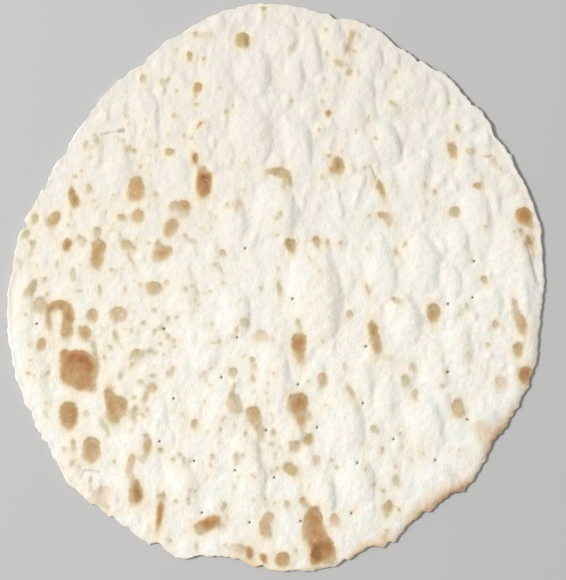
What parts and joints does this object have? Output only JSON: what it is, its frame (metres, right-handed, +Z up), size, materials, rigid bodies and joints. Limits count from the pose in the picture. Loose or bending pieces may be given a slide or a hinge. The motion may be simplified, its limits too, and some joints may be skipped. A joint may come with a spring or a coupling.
{
  "type": "taftoon flatbread",
  "caption": "Large, round, thin oven-baked flatbread with soft blisters, scorched spots and a rounded rim, lying flat.",
  "frame": {"origin": "on the underside, below the middle of the bread's outline box", "axes": "+Z up out of the blistered top; +Y along the bread's longer way; +X across it"},
  "size_m": [0.3758, 0.398, 0.0083],
  "materials": {
    "baked_crust": "matte"
  },
  "bodies": {
    "root": {"taftoon": "baked_crust"}
  },
  "joints": []
}
